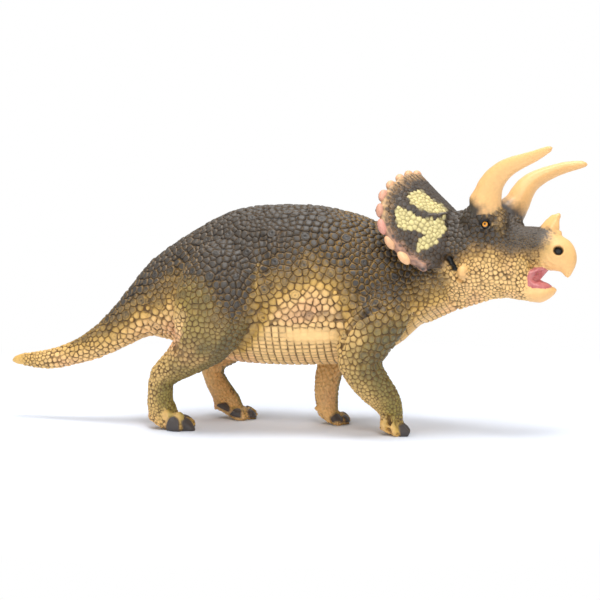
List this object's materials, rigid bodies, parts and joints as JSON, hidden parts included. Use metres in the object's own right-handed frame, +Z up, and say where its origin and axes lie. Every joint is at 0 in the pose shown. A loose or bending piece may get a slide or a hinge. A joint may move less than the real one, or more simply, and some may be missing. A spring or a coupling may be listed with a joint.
{
  "type": "toy dinosaur figure",
  "caption": "Moulded vinyl toy figure of a walking three-horned, frilled dinosaur with its mouth open, standing on four feet.",
  "frame": {"origin": "middle of the figure's bounding box, on the floor that its soles stand on", "axes": "+X towards the snout, along the body; +Y to the figure's left; +Z up"},
  "size_m": [0.2078, 0.0628, 0.1017],
  "materials": {
    "torso_hide": "satin vinyl, painted charcoal on the back, olive on the flank and tan on the belly, with raised scales",
    "tail_hide": "satin vinyl, painted charcoal above and tan below, with raised scales",
    "leg_hide": "satin vinyl, painted olive to tan, with small raised scales and dark grey hooves",
    "face_hide": "satin vinyl, painted charcoal round the brow and tan on the cheek, with a smooth tan beak and an orange eye",
    "frill_hide": "satin vinyl, painted dark with pale yellow patches and a pinkish brown rim",
    "horn": "smooth satin vinyl, pale tan with a dusting of charcoal at the base",
    "mouth": "glossy pink paint on vinyl"
  },
  "bodies": {
    "root": {"torso_shell_right": "torso_hide", "torso_shell_left": "torso_hide", "tail": "tail_hide", "hind_leg_right": "leg_hide", "hind_leg_left": "leg_hide", "fore_leg_right": "leg_hide", "fore_leg_left": "leg_hide", "skull": "face_hide", "lower_jaw": "face_hide", "mouth_lining": "mouth", "brow_horn_right": "horn", "brow_horn_left": "horn", "nose_horn": "horn", "frill": "frill_hide"}
  },
  "joints": []
}
